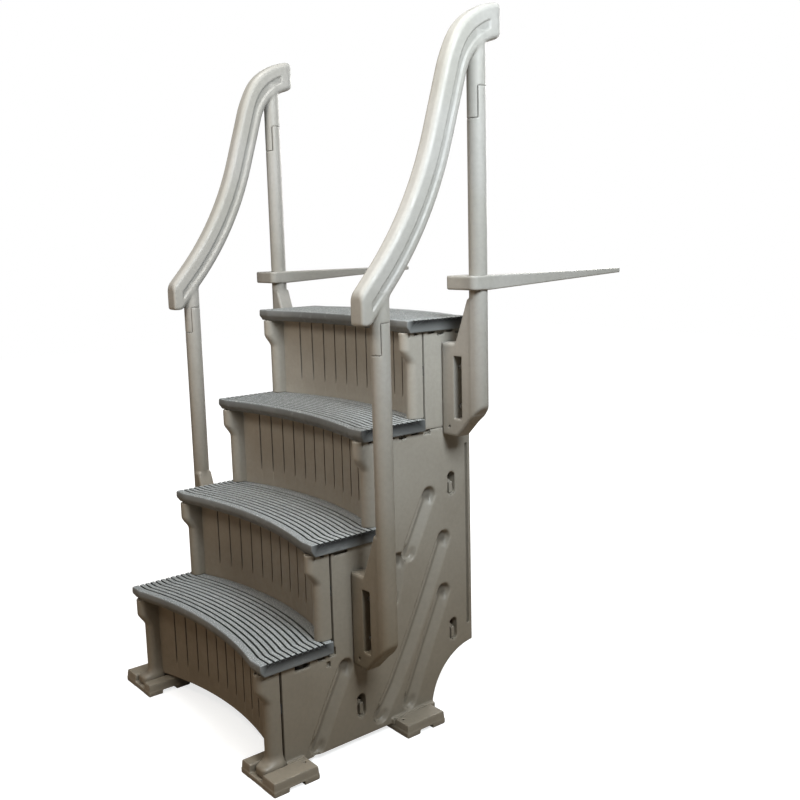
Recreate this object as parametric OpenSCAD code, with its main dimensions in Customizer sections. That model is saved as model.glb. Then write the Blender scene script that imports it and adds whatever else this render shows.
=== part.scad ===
// Four-step pool ladder: curved treads and risers between two hollow side panels,
// four identical posts, two S-curved handrails and two height-adjustable deck arms.
// X runs across the ladder, +Y is the way a person climbs, +Z is up.
// The origin is on the floor, at the centre of the four foot screw holes.

/* [Treads] */
// Width of a tread across the ladder
tread_w = 686; // [640:1:740]
// Front-to-back depth of a tread at its ends
tread_depth = 204; // [190:1:215]
// Thickness of a tread
tread_t = 31; // [24:1:38]
// Height of the first tread's top above the floor
first_top = 294; // [270:1:310]
// Height from one tread to the next
rise = 248; // [240:1:254]
// Horizontal distance from one tread to the next
going = 151; // [145:1:158]
// How far the middle of a tread's front edge curves back
nose_sag = 37; // [20:1:50]

/* [Sides] */
// Distance from the centre plane to the outer face of a side panel
side_x = 332; // [325:1:336]
// Thickness of a hollow side panel
panel_t = 44; // [38:1:50]
// Height of the lower side panel's rear edge above the floor
rear_cut_z = 160; // [150:1:175]

/* [Posts] */
// Diameter of a round post
post_d = 45; // [42:0.5:48]
// Distance from the centre plane to a post's axis
post_x = 446; // [440:1:456]
// Position of the front posts behind the first tread's front edge
front_post_y = 288; // [284:1:292]
// Position of the rear posts behind the first tread's front edge
rear_post_y = 592; // [588:1:596]
// Length of a post from its foot to the start of the lap joint
post_l = 766; // [740:1:780]
// Length of the lap joint between a post and a handrail
lap_l = 72; // [50:1:80]

/* [Handrails] */
// Width of a handrail across the ladder
rail_w = 46; // [42:1:50]
// Depth of a handrail, seen from the side
rail_t = 70; // [60:1:74]

/* [Deck arms] */
// Length of an arm from the post's axis to its tip
arm_l = 506; // [400:1:520]
// Height of an arm's underside in its lowest position
arm_z = 1109; // [1100:1:1116]
// Height of the collar that slides on the post
collar_h = 34; // [28:1:40]

/* [Feet] */
// Width of a foot
foot_w = 148; // [140:1:156]
// Length of a foot
foot_l = 124; // [116:1:130]
// Height of a foot's two side blocks
foot_h = 33; // [28:1:36]

/* [Hidden] */
$fn = 64;

body_colour = [0.60, 0.56, 0.50];
rail_colour = [0.74, 0.72, 0.67];
tread_colour = [0.38, 0.41, 0.43];
screw_colour = [0.72, 0.73, 0.74];
plug_colour = [0.08, 0.08, 0.09];

slit = 0.5;            // moulding gap between neighbouring plastic parts
seam = 4;              // visible seam between a riser column and a side panel
wall = 5;              // wall of a hollow moulding
skin = 6;              // top skin of a tread

// Feet, measured along Y from the first tread's front edge
foot_front_y = -11;
foot_rear_y = 380;
foot_x = 324;
foot_floor = 14;
foot_hole_x = 360;
foot_hole_inset = 16;
foot_hole_r = 3;
boot_h = 26;           // the legs flare into boots that fill the feet's channels
boot_out = 10;
boot_front_y = 10;
hole_front_y = foot_front_y + foot_l - foot_hole_inset;
hole_rear_y = foot_rear_y + foot_hole_inset;
origin_y = (hole_front_y + hole_rear_y) / 2;

// Tread plan: a concave front arc between two short straight ends, a convex rear arc
end_flat = 45;
arc_steps = 20;
arc_half = tread_w / 2 - end_flat;
nose_r = (arc_half * arc_half + nose_sag * nose_sag) / (2 * nose_sag);
nose_cy = nose_sag - nose_r;
rear_bulge = 52;
rear_half = 296;
rear_r = (rear_half * rear_half + rear_bulge * rear_bulge) / (2 * rear_bulge);
nose_step = 9;         // the nose's lower half sets back this far
nose_top = 17;         // height of the nose's upper half
groove_n = 11;
groove_first = 20;
groove_pitch = 15.5;
groove_w = 3.5;
groove_deep = 3;
groove_reach = tread_w / 2 + 1;
tread_screw_y = [75, 175];
screw_bite = 18;       // how far a screw reaches into a tread

// Risers
col_w = 36;
col_front = 20;        // a column's front face behind the tread's front edge
col_rear = 57;
capital_front = 1;
capital_h = 42;
riser_t = 6;
riser_face = 52;       // riser face behind the tread's front edge, at its ends
riser_sag = 46;
riser_half = side_x - col_w;
riser_r = (riser_half * riser_half + riser_sag * riser_sag) / (2 * riser_sag);
riser_1_bottom = 40;
flute_n = 11;
flute_pitch = 47.3;
flute_w = 3;
flute_deep = 2;
flute_foot = 45;

// Side panels
panel_in = side_x - panel_t;
panel_rear = 666;
panel_front = col_rear + seam;
rear_leg_y = 520;
cut_r = 157;
slot_r = 13;
slot_half = 18;
tie_r = 9;
tie_rear_y = 598;
tie_low_z = 209;
tie_high_z = 607;
tie_front_y = 288;
tie_front_z = 97;
rear_panel_t = 14;
plug_y = 120;
plug_r = 15;
plug_h = 14;
plug_rim = 4;          // the cap overhangs its neck by this much
notch_deep = 18;
window_half = 20;

// Posts: a flat flange carries the lower end of each post beside the panel
flange_h = 236;
flare_h = 110;
flange_in = side_x + slit;
shelf_x = 380;
front_post_z = 213;
rear_post_z = 741;
pocket_x0 = 378;
pocket_x1 = 406;
pocket_z0 = 46;
pocket_z1 = 204;
pocket_deep = 30;
drain_x = 360;
drain_z = 24;
drain_r = 4;
post_r = post_d / 2;
chamfer = 80;
post_bases = [[front_post_y, front_post_z], [rear_post_y, rear_post_z]];

// Handrail centre line, in the Y-Z plane
path_y = 245;
path_z = 1091;
path_foot = 70;
turn_lower = 24;
radius_lower = 883;
heading_0 = 49;
path_rise = 150;
heading_1 = heading_0 + turn_lower;
radius_upper = 172;
heading_2 = -2;
rail_foot_y = 223;
rail_end_y = 662;
rail_foot_z = 1047;
rail_slot_w = 14;
rail_slot_deep = 3;
rail_slot_off = -7;

// Deck arms: how far the collar and the plank reach from the post's axis
collar_in = 78;
collar_out = 28;
collar_front = 40;
collar_rear = 30;
arm_w = 40;
arm_tip_h = 12;
arm_play = 0.08;
deck_hole_r = 4;
deck_hole_first = 200;
deck_hole_pitch = 240;
clamp_r = 4;
clamp_head_r = 7;
clamp_head_h = 6;

// Fasteners
bolt_r = 4;
bolt_low = 76;
bolt_high = 176;
bolt_play = 0.2;
screw_r = 2.5;
screw_head_r = 5;
screw_head_h = 3;

// Put a shape drawn from the first tread's front edge into the ladder's own frame
module placed() {
    translate([0, -origin_y, 0]) children();
}

// side = 1 is the right side, side = -1 the left side
module sided(side) {
    placed() mirror([side < 0 ? 1 : 0, 0, 0]) children();
}

function front_y(n) = (n - 1) * going;
function top_z(n) = first_top + (n - 1) * rise;
function under_z(n) = top_z(n) - tread_t;
function reversed(list) = [for (i = [len(list) - 1 : -1 : 0]) list[i]];

// ---------------------------------------------------------------- treads

// Points across a tread on a line that follows its front edge, off behind it
function front_line(off, reach = tread_w / 2) = concat(
    [[-reach, off]],
    [for (i = [0 : arc_steps]) let (x = arc_half * (2 * i / arc_steps - 1))
        [x, off + nose_cy + sqrt(nose_r * nose_r - x * x)]],
    [[reach, off]]);

// Points along the convex rear edge, from right to left
function rear_line() = [for (i = [0 : arc_steps]) let (x = rear_half * (1 - 2 * i / arc_steps))
    [x, tread_depth + rear_bulge - rear_r + sqrt(rear_r * rear_r - x * x)]];

module tread_plan(off) {
    half = tread_w / 2;
    polygon(concat(front_line(off), [[half, tread_depth]], rear_line(), [[-half, tread_depth]]));
}

// One groove: it follows the front edge and runs out through both ends
module tread_groove(y) {
    linear_extrude(groove_deep + 1)
        polygon(concat(front_line(y, groove_reach), reversed(front_line(y + groove_w, groove_reach))));
}

module tread(n) {
    pocket_w = 168;
    pocket_y = 60;
    color(tread_colour) placed() translate([0, front_y(n), under_z(n)]) difference() {
        union() {
            // the nose's lower half sets back under its upper half
            linear_extrude(tread_t - nose_top) tread_plan(nose_step);
            translate([0, 0, tread_t - nose_top]) linear_extrude(nose_top) tread_plan(0);
        }
        // hollow underside between ribs
        for (i = [-1 : 1])
            translate([i * (pocket_w + 10) - pocket_w / 2, pocket_y, -1])
                cube([pocket_w, tread_depth - pocket_y - 14, tread_t - skin + 1]);
        for (i = [0 : groove_n - 1])
            translate([0, 0, tread_t - groove_deep]) tread_groove(groove_first + i * groove_pitch);
        tread_screw_places() cylinder(r = screw_r, h = 2 * screw_bite, center = true);
    }
}

// Screws come up through the side panel's top wall into the tread's ends
module tread_screw_places() {
    for (side = [-1, 1], y = tread_screw_y)
        translate([side * (side_x - panel_t / 2), y, 0]) children();
}

// ---------------------------------------------------------------- risers

module column_plan(front) {
    r = col_w / 2;
    translate([r, front + r]) circle(r = r);
    translate([0, front + r]) square([col_w, col_rear - front - r]);
}

module riser_column(z0, z1) {
    flare_z = z1 - capital_h - col_front + capital_front;
    translate([riser_half, 0, 0]) {
        translate([0, 0, z0]) linear_extrude(z1 - z0) column_plan(col_front);
        translate([0, 0, z1 - capital_h]) linear_extrude(capital_h) column_plan(capital_front);
        // the sloping underside of the capital
        intersection() {
            translate([0, 0, flare_z])
                linear_extrude(z1 - flare_z) column_plan(capital_front);
            translate([0, col_front, flare_z]) rotate([45, 0, 0])
                translate([0, 0, -1]) cube([col_w, 60, 60]);
        }
    }
}

module riser(n) {
    z0 = n == 1 ? riser_1_bottom : top_z(n - 1);
    z1 = under_z(n);
    column_z0 = n == 1 ? foot_floor : z0;
    wall_cy = riser_face + riser_sag - riser_r;
    color(body_colour) placed() translate([0, front_y(n), 0]) difference() {
        union() {
            for (m = [0, 1])
                mirror([m, 0, 0]) {
                    riser_column(column_z0, z1);
                    if (n == 1) boot(riser_half, boot_front_y, col_rear);
                }
            translate([0, wall_cy, z0]) intersection() {
                difference() {
                    cylinder(r = riser_r + riser_t, h = z1 - z0, $fn = 180);
                    translate([0, 0, -1]) cylinder(r = riser_r, h = z1 - z0 + 2, $fn = 180);
                }
                translate([-riser_half - 1, 0, 0]) cube([2 * riser_half + 2, 2 * riser_r, z1 - z0]);
            }
        }
        // shallow flutes stop above a plain band
        for (i = [0 : flute_n - 1])
            translate([0, wall_cy, z0 + flute_foot])
                rotate([0, 0, asin((i - (flute_n - 1) / 2) * flute_pitch / riser_r)])
                    translate([-flute_w / 2, riser_r - 1, 0])
                        cube([flute_w, flute_deep + 1, z1 - z0]);
    }
}

// Flared lower end of a leg
module boot(x0, y0, y1) {
    translate([x0, y0, foot_floor]) cube([side_x + boot_out - x0, y1 - y0, boot_h]);
}

// ---------------------------------------------------------------- side panels

// Stepped outline in the Y-Z plane; inset shrinks it evenly
module lower_outline(inset = 0) {
    difference() {
        polygon([
            [panel_front + inset, foot_floor + inset],
            [panel_front + inset, under_z(1) - inset],
            [panel_front + going + inset, under_z(1) - inset],
            [panel_front + going + inset, under_z(2) - inset],
            [panel_front + 2 * going + inset, under_z(2) - inset],
            [panel_front + 2 * going + inset, under_z(3) - inset],
            [panel_rear - inset, under_z(3) - inset],
            [panel_rear - inset, foot_floor + inset]
        ]);
        translate([rear_leg_y + cut_r, rear_cut_z - cut_r + 2]) circle(r = cut_r + inset, $fn = 96);
    }
}

module upper_outline(inset = 0) {
    y0 = panel_front + 3 * going;
    translate([y0 + inset, under_z(3) + slit + inset])
        square([panel_rear - y0 - 2 * inset, under_z(4) - under_z(3) - slit - 2 * inset]);
}

// Stand a Y-Z outline up and give it thickness along X, from x0 outwards
module stand(x0, t) {
    translate([x0, 0, 0]) rotate([90, 0, 90]) linear_extrude(t) children();
}

// An upright slot with round ends, right through a side panel
module oval_slot(y, z) {
    for (dz = [-slot_half, slot_half])
        translate([panel_in - 1, y, z + dz]) rotate([0, 90, 0]) cylinder(r = slot_r, h = panel_t + 2);
    translate([panel_in - 1, y - slot_r, z - slot_half]) cube([panel_t + 2, 2 * slot_r, 2 * slot_half]);
}

// The lining that keeps a slot or a bolt hole closed off from the hollow
module lining(y, z, r, h) {
    translate([panel_in, y, z]) rotate([0, 90, 0]) cylinder(r = r, h = h);
}

module slot_lining(y, z) {
    for (dz = [-slot_half, slot_half])
        lining(y, z + dz, slot_r + wall, panel_t);
    translate([panel_in, y - slot_r - wall, z - slot_half])
        cube([panel_t, 2 * (slot_r + wall), 2 * slot_half]);
}

module bolt_holes(post_y, post_z) {
    for (dz = [bolt_low, bolt_high])
        translate([panel_in - 1, post_y, post_z + dz]) rotate([0, 90, 0])
            cylinder(r = bolt_r + bolt_play, h = 120);
}

module lower_side_panel(side) {
    color(body_colour) sided(side) difference() {
        union() {
            difference() {
                stand(panel_in, panel_t) lower_outline();
                stand(panel_in + wall, panel_t - 2 * wall) lower_outline(wall);
            }
            intersection() {
                stand(panel_in, panel_t) lower_outline();
                union() {
                    slot_lining(tie_rear_y, tie_low_z);
                    slot_lining(tie_rear_y, tie_high_z);
                    slot_lining(tie_front_y, tie_front_z);
                    for (dz = [bolt_low, bolt_high])
                        lining(front_post_y, front_post_z + dz, bolt_r + wall, panel_t);
                    // walls and floor of the plug's window
                    translate([panel_in, plug_y - window_half - wall, under_z(1) - notch_deep - wall])
                        cube([panel_t, 2 * (window_half + wall), notch_deep + wall]);
                }
            }
            boot(side_x - wall, panel_front, foot_front_y + foot_l);
            boot(side_x - wall, foot_rear_y, rear_leg_y);
        }
        oval_slot(tie_rear_y, tie_low_z);
        oval_slot(tie_rear_y, tie_high_z);
        oval_slot(tie_front_y, tie_front_z);
        bolt_holes(front_post_y, front_post_z);
        // filling hole in the top wall, under the first tread, and a window that shows its plug
        translate([side_x - panel_t / 2, plug_y, under_z(1) - notch_deep - wall - 2])
            cylinder(r = plug_r - plug_rim, h = 40);
        translate([panel_in + wall, plug_y - window_half, under_z(1) - notch_deep])
            cube([panel_t, 2 * window_half, notch_deep + 1]);
        // drain hole at the lowest point of the hollow
        translate([side_x - panel_t / 2, 300, foot_floor - 1]) cylinder(r = 6, h = wall + 2);
        for (n = [1 : 3])
            translate([0, front_y(n), under_z(n)]) tread_screw_clearance();
        for (y = [hole_front_y, hole_rear_y])
            translate([side_x - panel_t / 2, y, foot_floor - 1]) cylinder(r = screw_r, h = wall + 2);
    }
}

module tread_screw_clearance() {
    for (y = tread_screw_y)
        translate([side_x - panel_t / 2, y, -wall - 1]) cylinder(r = screw_r + 0.2, h = wall + 2);
}

module upper_side_panel(side) {
    color(body_colour) sided(side) difference() {
        union() {
            difference() {
                stand(panel_in, panel_t) upper_outline();
                stand(panel_in + wall, panel_t - 2 * wall) upper_outline(wall);
            }
            for (dz = [bolt_low, bolt_high])
                lining(rear_post_y, rear_post_z + dz, bolt_r + wall, panel_t);
        }
        bolt_holes(rear_post_y, rear_post_z);
        translate([0, front_y(4), under_z(4)]) tread_screw_clearance();
        translate([side_x - panel_t / 2, 620, under_z(3) - 1]) cylinder(r = 6, h = wall + 4);
    }
}

module rear_panel(z0, z1) {
    rib_w = 8;
    rib_deep = 12;
    half = panel_in - slit;
    color(body_colour) placed() {
        translate([-half, panel_rear - rear_panel_t, z0]) cube([2 * half, 6, z1 - z0]);
        for (x = [-half, -half / 2, -rib_w / 2, half / 2 - rib_w, half - rib_w])
            translate([x, panel_rear - rear_panel_t, z0]) cube([rib_w, rib_deep, z1 - z0]);
        for (z = [z0, (z0 + z1) / 2, z1 - rib_w])
            translate([-half, panel_rear - rear_panel_t, z]) cube([2 * half, rib_deep, rib_w]);
    }
}

// A tube from side to side; its flat ends show as a bar across each oval slot
module cross_tie(y, z) {
    bar_h = 8;
    color(body_colour) placed() translate([0, y, z]) {
        rotate([0, 90, 0]) difference() {
            cylinder(r = tie_r, h = 2 * panel_in, center = true);
            cylinder(r = tie_r - 3, h = 2 * panel_in + 2, center = true);
        }
        for (side = [-1, 1])
            translate([side * (side_x + panel_in - 4) / 2, 0, 0])
                cube([panel_t, 2 * slot_r - 2 * slit, bar_h], center = true);
    }
}

// Black caps that close the filling holes
module fill_plugs() {
    color(plug_colour) for (side = [-1, 1])
        sided(side) translate([side_x - panel_t / 2, plug_y, under_z(1) - notch_deep]) {
            difference() {
                cylinder(r = plug_r, h = plug_h);
                translate([0, 0, plug_h - 3]) cylinder(r = plug_r - plug_rim, h = plug_rim);
            }
            translate([0, 0, -wall]) cylinder(r = plug_r - plug_rim - 0.1, h = wall + 1);
        }
}

// ---------------------------------------------------------------- feet

// A foot's channel holds the flared lower end of the leg between two blocks
module foot(side, y0, flip) {
    channel_x0 = panel_in - foot_x - slit;
    channel_x1 = side_x + boot_out - foot_x + slit;
    arch_h = 10;
    arch_half = 21;
    color(body_colour) sided(side) translate([foot_x, y0 + (flip ? foot_l : 0), 0])
        mirror([0, flip ? 1 : 0, 0]) difference() {
            translate([-foot_w / 2, 0, 0]) cube([foot_w, foot_l, foot_h]);
            // channel for the leg, open at both ends
            translate([channel_x0, -1, foot_floor]) cube([channel_x1 - channel_x0, foot_l + 2, foot_h]);
            // arch under the foot
            translate([-foot_w, foot_l / 2 - arch_half, -1]) cube([2 * foot_w, 2 * arch_half, arch_h + 1]);
            // screw hole to the pool floor or a base plate
            translate([foot_hole_x - foot_x, foot_l - foot_hole_inset, -1])
                cylinder(r = foot_hole_r, h = foot_h + 2);
            // screw up into the leg
            translate([side_x - panel_t / 2 - foot_x, foot_l - foot_hole_inset, -1])
                cylinder(r = screw_r + 0.2, h = foot_h);
            translate([side_x - panel_t / 2 - foot_x, foot_l - foot_hole_inset, -1])
                cylinder(r = screw_head_r + 0.5, h = screw_head_h + 2);
        }
}

// ---------------------------------------------------------------- posts

module flange_outline() {
    polygon([
        [flange_in, 0],
        [post_x - 60, 0],
        [post_x, 60],
        [post_x, flange_h + flare_h],
        [post_x - post_r + 1, flange_h + flare_h],
        [shelf_x, flange_h],
        [flange_in, flange_h]
    ]);
}

// The post's own base is cut to the same slope as the flange's underside
module post(side, y, z) {
    color(rail_colour) sided(side) translate([0, y, z]) difference() {
        union() {
            translate([post_x, 0, chamfer]) cylinder(r = post_r, h = post_l - chamfer);
            intersection() {
                translate([post_x, 0, 0]) cylinder(r = post_r, h = chamfer + 1);
                translate([post_x - 60, -60, 0]) rotate([0, -45, 0]) cube([200, 120, 200]);
            }
            translate([0, post_r, 0]) rotate([90, 0, 0]) linear_extrude(post_d) flange_outline();
            // rear half of the lap joint
            intersection() {
                translate([post_x, 0, post_l - 1]) cylinder(r = post_r, h = lap_l + 1);
                translate([post_x - post_r, slit / 2, post_l - 1]) cube([post_d, post_r, lap_l + 1]);
            }
        }
        // upright pocket in the flange's front face
        translate([pocket_x0, -post_r - 1, pocket_z0])
            cube([pocket_x1 - pocket_x0, pocket_deep + 1, pocket_z1 - pocket_z0]);
        // flange bolts run from the pocket into the side panel
        for (dz = [bolt_low, bolt_high])
            translate([flange_in - 1, 0, dz]) rotate([0, 90, 0])
                cylinder(r = bolt_r + bolt_play, h = pocket_x0 - flange_in + 2);
        // drain hole near the flange's lower corner
        translate([drain_x, 0, drain_z]) rotate([90, 0, 0])
            cylinder(r = drain_r, h = post_d + 2, center = true);
        // lap screw
        translate([post_x, 0, post_l + lap_l / 2]) rotate([-90, 0, 0])
            cylinder(r = screw_r + 0.1, h = post_d);
        translate([post_x, post_r - screw_head_h - 1, post_l + lap_l / 2]) rotate([-90, 0, 0])
            cylinder(r = screw_head_r + 0.3, h = post_d);
    }
}

// ---------------------------------------------------------------- handrails

// Points along an arc, for a path that starts at p with heading a0 and ends with heading a1
function arc_points(p, a0, a1, r, off, n) = let (s = a1 > a0 ? 1 : -1)
    [for (i = [0 : n]) let (a = a0 + (a1 - a0) * i / n)
        [p[0] + s * r * (sin(a) - sin(a0)) - off * sin(a),
         p[1] - s * r * (cos(a) - cos(a0)) + off * cos(a)]];

function step_on(p, a, l) = [p[0] + l * cos(a), p[1] + l * sin(a)];

rail_p0 = [path_y, path_z];
rail_p1 = step_on(rail_p0, heading_0, path_foot);
rail_p2 = [rail_p1[0] + radius_lower * (sin(heading_1) - sin(heading_0)),
           rail_p1[1] - radius_lower * (cos(heading_1) - cos(heading_0))];
rail_p3 = step_on(rail_p2, heading_1, path_rise);

// One edge of the rail, off to the left (+) or right (-) of its centre line
function rail_edge(off) = concat(
    arc_points(rail_p1, heading_0, heading_1, radius_lower, off, 10),
    arc_points(rail_p3, heading_1, heading_2, radius_upper, off, 14));

module rail_outline() {
    half = rail_t / 2;
    lead = step_on([path_y - half * sin(heading_0), path_z + half * cos(heading_0)], heading_0, 2);
    cut = (lead[0] - rail_foot_y) * tan(heading_0);
    toe = [rail_p1[0] + half * sin(heading_0), rail_p1[1] - half * cos(heading_0)];
    toe_drop = (toe[1] - rail_foot_z) / tan(heading_0);
    polygon(concat(
        [[rail_foot_y, rail_foot_z], [rail_foot_y, lead[1] - cut]],
        rail_edge(half),
        reversed(rail_edge(-half)),
        [[toe[0] - toe_drop, rail_foot_z]]));
}

module rail_stub(y, z_top, lap_z) {
    translate([post_x, y, lap_z + lap_l + slit]) cylinder(r = post_r, h = z_top - lap_z - lap_l - slit);
    intersection() {
        translate([post_x, y, lap_z + slit]) cylinder(r = post_r, h = lap_l);
        translate([post_x - post_r, y - post_r, lap_z + slit])
            cube([post_d, post_r - slit / 2, lap_l]);
    }
}

module lap_pilot(y, lap_z) {
    translate([post_x, y - 12, lap_z + lap_l / 2]) rotate([-90, 0, 0]) cylinder(r = screw_r, h = 13);
}

module handrail(side) {
    color(rail_colour) sided(side) difference() {
        union() {
            stand(post_x - rail_w / 2, rail_w) rail_outline();
            rail_stub(front_post_y, 1115, front_post_z + post_l);
            rail_stub(rear_post_y, 1690, rear_post_z + post_l);
        }
        // a long shallow groove along both faces
        for (x = [post_x - rail_w / 2 - 1, post_x + rail_w / 2 - rail_slot_deep])
            stand(x, rail_slot_deep + 1) polygon(concat(
                rail_edge(rail_slot_off + rail_slot_w / 2),
                reversed(rail_edge(rail_slot_off - rail_slot_w / 2))));
        translate([post_x - rail_w, rail_end_y, 1600]) cube([2 * rail_w, 40, 200]);
        lap_pilot(front_post_y, front_post_z + post_l);
        lap_pilot(rear_post_y, rear_post_z + post_l);
    }
}

// ---------------------------------------------------------------- deck arms

// Both arms are the same part, so the left one is not mirrored
module at_arm(side) {
    placed() translate([side * post_x, rear_post_y, arm_z]) children();
}

module deck_arm(side) {
    color(rail_colour) at_arm(side) difference() {
        union() {
            translate([-collar_in, -collar_front, 0])
                cube([collar_in + collar_out, collar_front + collar_rear, collar_h]);
            stand(collar_out - arm_w, arm_w) polygon([
                [0, 0], [collar_rear, 0], [arm_l, collar_h - arm_tip_h], [arm_l, collar_h], [0, collar_h]
            ]);
        }
        translate([0, 0, -1]) cylinder(r = post_r + arm_play, h = collar_h + 2);
        for (i = [0, 1])
            translate([collar_out - arm_w / 2, deck_hole_first + i * deck_hole_pitch, -1])
                cylinder(r = deck_hole_r, h = collar_h + 2);
        translate([-collar_in - 1, 0, collar_h / 2]) rotate([0, 90, 0])
            cylinder(r = clamp_r + 0.1, h = collar_in);
        translate([-collar_in - 1, 0, collar_h / 2]) rotate([0, 90, 0])
            cylinder(r = clamp_head_r + 0.5, h = clamp_head_h + 2);
    }
}

// Clamp screw: its head sits in the collar, its tip faces the post
module arm_screw(side) {
    color(screw_colour) at_arm(side) translate([-collar_in + 1, 0, collar_h / 2]) rotate([0, 90, 0])
        difference() {
            union() {
                cylinder(r = clamp_head_r, h = clamp_head_h);
                cylinder(r = clamp_r, h = collar_in - post_r - 1.5);
            }
            translate([0, 0, -1]) cylinder(r = 2.5, h = 4, $fn = 6);
        }
}

// ---------------------------------------------------------------- fasteners

module at_flanges() {
    for (side = [-1, 1], base = post_bases, dz = [bolt_low, bolt_high])
        sided(side) translate([0, base[0], base[1] + dz]) rotate([0, 90, 0]) children();
}

module flange_bolts() {
    head_h = 5;
    nut_reach = 14;
    color(screw_colour) at_flanges() {
        translate([0, 0, pocket_x0]) cylinder(r = 6.5, h = head_h, $fn = 6);
        translate([0, 0, panel_in - nut_reach])
            cylinder(r = bolt_r, h = pocket_x0 - panel_in + nut_reach + 1);
    }
}

module flange_nuts() {
    nut_h = 6.5;
    color(screw_colour) at_flanges() translate([0, 0, panel_in - nut_h]) difference() {
        cylinder(r = 7.5, h = nut_h, $fn = 6);
        translate([0, 0, -1]) cylinder(r = bolt_r + 0.05, h = nut_h + 2);
    }
}

module rail_joint_screws() {
    color(screw_colour) for (side = [-1, 1], base = post_bases)
        sided(side) translate([post_x, base[0], base[1] + post_l + lap_l / 2]) rotate([-90, 0, 0]) {
            translate([0, 0, -11]) cylinder(r = screw_r - 0.05, h = 11 + post_r - screw_head_h);
            translate([0, 0, post_r - screw_head_h - 1]) cylinder(r = screw_head_r, h = screw_head_h);
        }
}

module tread_screws() {
    color(screw_colour) placed() for (n = [1 : 4])
        translate([0, front_y(n), under_z(n)]) tread_screw_places() {
            translate([0, 0, -wall - screw_head_h]) cylinder(r = screw_head_r, h = screw_head_h);
            translate([0, 0, -wall - 1]) cylinder(r = screw_r - 0.05, h = wall + screw_bite);
        }
}

module foot_screws() {
    color(screw_colour) for (side = [-1, 1], y = [hole_front_y, hole_rear_y])
        sided(side) translate([side_x - panel_t / 2, y, 1]) {
            cylinder(r = screw_head_r, h = screw_head_h);
            cylinder(r = screw_r, h = foot_floor + wall);
        }
}

// Small clips that bridge the seam between each riser column and the side panel
module joint_clips() {
    clip_h = 24;
    color(body_colour) for (side = [-1, 1], n = [1 : 4])
        sided(side) translate([side_x - 14, front_y(n) + col_rear, under_z(n) - 110])
            cube([10, seam, clip_h]);
}

tread(1);  // tread_1
tread(2);  // tread_2
tread(3);  // tread_3
tread(4);  // tread_4
riser(1);  // riser_1
riser(2);  // riser_2
riser(3);  // riser_3
riser(4);  // riser_4
lower_side_panel(1);  // side_panel_right
lower_side_panel(-1);  // side_panel_left
upper_side_panel(1);  // upper_panel_right
upper_side_panel(-1);  // upper_panel_left
rear_panel(tie_low_z, under_z(3) - 1);  // rear_panel_lower
rear_panel(under_z(3) + 1, under_z(4));  // rear_panel_upper
cross_tie(tie_front_y, tie_front_z);  // cross_tie_front
cross_tie(tie_rear_y, tie_low_z);  // cross_tie_low
cross_tie(tie_rear_y, tie_high_z);  // cross_tie_high
foot(1, foot_front_y, false);  // foot_front_right
foot(-1, foot_front_y, false);  // foot_front_left
foot(1, foot_rear_y, true);  // foot_rear_right
foot(-1, foot_rear_y, true);  // foot_rear_left
post(1, front_post_y, front_post_z);  // post_front_right
post(-1, front_post_y, front_post_z);  // post_front_left
post(1, rear_post_y, rear_post_z);  // post_rear_right
post(-1, rear_post_y, rear_post_z);  // post_rear_left
handrail(1);  // handrail_right
handrail(-1);  // handrail_left
deck_arm(1);  // deck_arm_right
deck_arm(-1);  // deck_arm_left
arm_screw(1);  // arm_screw_right
arm_screw(-1);  // arm_screw_left
fill_plugs();
flange_bolts();
flange_nuts();
rail_joint_screws();
tread_screws();
foot_screws();
joint_clips();
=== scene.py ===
"""Looks of the pool ladder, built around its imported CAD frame.

Lengths are in millimetres in the ladder's own layout unless a comment says otherwise: X across (0 is the
middle), Y the way a person climbs (0 is the first tread's front edge), Z up (0 is the floor). to_frame()
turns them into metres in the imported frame.
"""

import math

import bpy
import numpy as np
from mathutils import Matrix, Vector


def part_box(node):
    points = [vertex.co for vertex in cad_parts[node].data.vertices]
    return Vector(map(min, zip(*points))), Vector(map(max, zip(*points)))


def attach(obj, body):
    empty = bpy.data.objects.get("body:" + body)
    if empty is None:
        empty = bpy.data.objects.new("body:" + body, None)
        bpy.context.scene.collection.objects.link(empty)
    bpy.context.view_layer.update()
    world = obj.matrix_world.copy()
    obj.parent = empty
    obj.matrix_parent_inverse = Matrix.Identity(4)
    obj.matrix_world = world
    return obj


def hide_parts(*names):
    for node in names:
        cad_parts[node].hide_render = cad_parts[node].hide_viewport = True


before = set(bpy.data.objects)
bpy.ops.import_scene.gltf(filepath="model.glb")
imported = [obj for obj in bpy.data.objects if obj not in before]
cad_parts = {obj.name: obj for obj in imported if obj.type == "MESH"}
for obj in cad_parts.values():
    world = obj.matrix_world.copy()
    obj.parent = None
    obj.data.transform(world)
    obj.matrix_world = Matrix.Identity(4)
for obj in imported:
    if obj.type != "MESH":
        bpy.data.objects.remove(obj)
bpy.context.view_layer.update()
MM = 1000
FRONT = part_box("tread_1")[0].y


def node_box(name):
    """Corners of a CAD node in the ladder's layout, in mm."""
    return [np.array([v.x, v.y - FRONT, v.z]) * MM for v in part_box(name)]


# Treads: half width, thickness, and the step from one to the next
T1, T2 = (node_box(f"tread_{n}") for n in (1, 2))
TREAD_HALF = T1[1][0]
TREAD_T = T1[1][2] - T1[0][2]
GOING = T2[0][1] - T1[0][1]
RISE = T2[1][2] - T1[1][2]
FIRST_TOP = T1[1][2]
STEPS = 4

# Side panels: inner and outer face, front and rear edge, and how far their feet stand off the floor
UPPER = node_box("upper_panel_right")
SIDE_IN, SIDE_X = UPPER[0][0], UPPER[1][0]
PANEL_REAR = UPPER[1][1]
PANEL_FRONT = UPPER[0][1] - 3 * GOING
FLOOR_GAP = node_box("riser_1")[0][2]

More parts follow.
